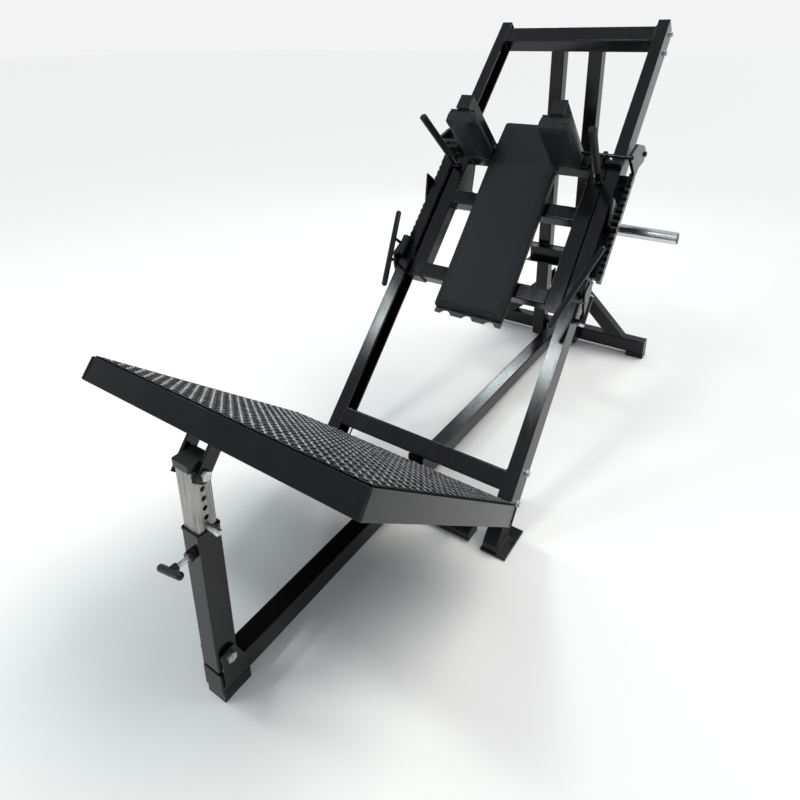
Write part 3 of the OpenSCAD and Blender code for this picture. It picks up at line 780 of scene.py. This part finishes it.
class SQUAT_OT_welds(bpy.types.Operator):
    """Lays rippled weld beads where bars meet"""

    bl_idname = "squat.welds"
    bl_label = "Weld Beads"

    def execute(self, context):
        welds = context.scene.squat_welds
        sled = []
        for node in ("sled_cross_low", "sled_cross_mid", "sled_cross_top"):
            sled += end_edges(node, RAIL, ACROSS, (NEAR, FAR))
        for node in ("shoulder_arm_l", "shoulder_arm_r"):
            sled += end_edges(node, RAIL, UP, (NEAR,))
        fixed = end_edges("top_crossbar", RAIL, ACROSS, (NEAR, FAR))
        fixed += end_edges("lower_crossbar", RAIL, ACROSS, (NEAR, FAR))
        fixed += end_edges("upright_tie", FLOOR, ALONG, (FAR,))
        fixed += end_edges("spine", FLOOR, ALONG, (FAR,))
        for node in ("rail_l", "rail_r"):
            fixed += self.foot_edges(node)
        plate = plate_matrix(context.scene.squat_tread.tilt)
        tray = self.corner_edges("plate_tray", plate, welds.inset)
        groups = (
            ("sled_welds", sled, "sled"),
            ("frame_welds", fixed, "frame"),
            ("tray_welds", tray, "footplate"),
        )
        for name, edges, body in groups:
            bm = bmesh.new()
            places = [place for edge in edges for place in self.ripples(*edge, welds)]
            strew(bm, ball(around=8, rings=4), places)
            add_piece(name, bm, finish(context, "coat"), body)
        return {"FINISHED"}

    def foot_edges(self, node):
        """The edges of a rail's level foot."""
        low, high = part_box(node)
        level = [v.co for v in frame["nodes"][node].data.vertices if v.co.z < low.z + 1 * MM]
        back = max(p.y for p in level)
        corners = ((low.x, low.y), (high.x, low.y), (high.x, back), (low.x, back))
        ring = [Vector((x, y, low.z)) for x, y in corners]
        return list(zip(ring, ring[1:] + ring[:1]))

    def corner_edges(self, node, matrix, inset):
        """The upright edges of a tray's corners."""
        low, high = local_box(node, matrix)
        edges = []
        for x in (low.x, high.x):
            for y in (low.y, high.y):
                bottom = Vector((x, y, low.z + inset))
                top = Vector((x, y, high.z - inset))
                edges.append((matrix @ bottom, matrix @ top))
        return edges

    def ripples(self, start, end, welds):
        """The places of the overlapping ripples of one straight bead."""
        way = end - start
        count = max(2, round(way.length / welds.pitch))
        turn = way.to_track_quat("Z", "Y").to_matrix().to_4x4()
        places = []
        for i in range(count + 1):
            swing = sum(share * math.sin(i * step) for share, step in RIPPLE_WAVES)
            wide = welds.radius * (1.0 + swing)
            size = Matrix.Diagonal((wide, wide, RIPPLE_LENGTH * welds.radius, 1))
            places.append(Matrix.Translation(start + way * i / count) @ turn @ size)
        return places


# half the floor's side in m, width of the camera's sensor in mm, and where the ceiling light
# comes from
FLOOR_HALF = 60.0
SENSOR_WIDTH = 36
CEILING_FROM = (0.35, 0.50, 0.79)
# lamps: the setting of its power, its place, the spot it lights and its size, in m
SOFTBOXES = (
    ("left", (-2.30, -1.59, 3.00), (-0.35, 0.05, 0.46), (0.6, 0.32)),
    ("right", (-0.69, -1.80, 3.37), (0.35, 0.05, 0.46), (0.6, 0.30)),
    ("rear", (-1.27, 3.24, 1.94), (0.0, 0.42, 0.09), (0.8, 0.30)),
)


class SQUAT_OT_stage(bpy.types.Operator):
    """Sets the camera, the pale floor and the soft light"""

    bl_idname = "squat.stage"
    bl_label = "Stage"

    def execute(self, context):
        stage = context.scene.squat_stage
        self.camera(context, stage)
        self.floor(context, stage)
        self.room(context, stage)
        self.ceiling(context, stage)
        for name, place, target, size in SOFTBOXES:
            self.softbox(context, name, place, target, size, getattr(stage, name))
        context.scene.view_settings.view_transform = "Standard"
        return {"FINISHED"}

    def floor(self, context, stage):
        """A wide pale floor."""
        bm = bmesh.new()
        bmesh.ops.create_grid(bm, x_segments=1, y_segments=1, size=FLOOR_HALF)
        mesh = bpy.data.meshes.new("floor")
        bm.to_mesh(mesh)
        bm.free()
        floor = bpy.data.objects.new("floor", mesh)
        context.scene.collection.objects.link(floor)
        f = Finish("floor")
        floor.data.materials.append(f.shade(Base_Color=(*stage.floor, 1), Roughness=0.8))

    def room(self, context, stage):
        """A dim room with a bright horizon."""
        world = bpy.data.worlds.new("room")
        world.use_nodes = True
        context.scene.world = world
        nodes = Nodes(world.node_tree)
        way = nodes.add("TexCoord", out="Generated")
        height = nodes.add("SeparateXYZ", None, {"Vector": way}, "Z")
        sockets = {"Factor": height.between(0.06, 0.30), "A": (1, 1, 1, 1), "B": (*stage.sky, 1)}
        colour = nodes.add("Mix", {"data_type": "RGBA"}, sockets)
        nodes.put(world.node_tree.nodes["Background"], {"Color": colour, "Strength": stage.horizon})

    def ceiling(self, context, stage):
        """A wide soft light from above."""
        lamp = bpy.data.lights.new("ceiling", "SUN")
        lamp.energy = stage.ceiling
        lamp.angle = stage.ceiling_spread
        light = bpy.data.objects.new("ceiling", lamp)
        light.rotation_euler = (-Vector(CEILING_FROM)).to_track_quat("-Z", "Y").to_euler()
        context.scene.collection.objects.link(light)

    def camera(self, context, stage):
        """The photograph's camera."""
        lens = bpy.data.cameras.new("camera")
        lens.lens = stage.focal
        lens.sensor_width = SENSOR_WIDTH
        lens.shift_x, lens.shift_y = stage.shift
        lens.dof.use_dof = False
        camera = bpy.data.objects.new("camera", lens)
        camera.location = stage.camera
        level = Matrix.Rotation(math.pi / 2 - stage.pitch, 4, "X")
        turned = Matrix.Rotation(stage.yaw, 4, "Z") @ level @ Matrix.Rotation(stage.roll, 4, "Z")
        camera.rotation_euler = turned.to_euler()
        context.scene.collection.objects.link(camera)
        context.scene.camera = camera

    def softbox(self, context, name, place, target, size, power):
        """A rectangular lamp aimed at a spot of the machine."""
        lamp = bpy.data.lights.new(name, "AREA")
        lamp.shape = "RECTANGLE"
        lamp.size, lamp.size_y = size
        lamp.energy = power
        lamp.color = context.scene.squat_stage.lamp
        light = bpy.data.objects.new(name, lamp)
        light.visible_camera = False
        light.location = place
        aim = Vector(target) - Vector(place)
        light.rotation_euler = aim.to_track_quat("-Z", "Y").to_euler()
        context.scene.collection.objects.link(light)


class SQUAT_PT_panel(bpy.types.Panel):
    """Lists the steps that dress the machine"""

    bl_idname = "SQUAT_PT_panel"
    bl_label = "Hack Squat"
    bl_space_type = "VIEW_3D"
    bl_region_type = "UI"
    bl_category = "Hack Squat"

    def draw(self, context):
        for step in STEPS:
            self.layout.operator(step.bl_idname)


GROUPS = {
    "squat_look": SquatLook,
    "squat_pads": SquatPads,
    "squat_welds": SquatWelds,
    "squat_tread": SquatTread,
    "squat_stage": SquatStage,
}
STEPS = (SQUAT_OT_finish_frame, SQUAT_OT_pads, SQUAT_OT_tread, SQUAT_OT_welds, SQUAT_OT_stage)


def register():
    for cls in (*GROUPS.values(), *STEPS, SQUAT_PT_panel):
        bpy.utils.register_class(cls)
    for name, group in GROUPS.items():
        setattr(bpy.types.Scene, name, bpy.props.PointerProperty(type=group))


def unregister():
    for name in GROUPS:
        delattr(bpy.types.Scene, name)
    for cls in reversed((*GROUPS.values(), *STEPS, SQUAT_PT_panel)):
        bpy.utils.unregister_class(cls)


def main():
    register()
    bpy.ops.squat.finish_frame()
    bpy.ops.squat.pads()
    bpy.ops.squat.tread()
    bpy.ops.squat.welds()
    bpy.ops.squat.stage()


if __name__ == "__main__":
    main()
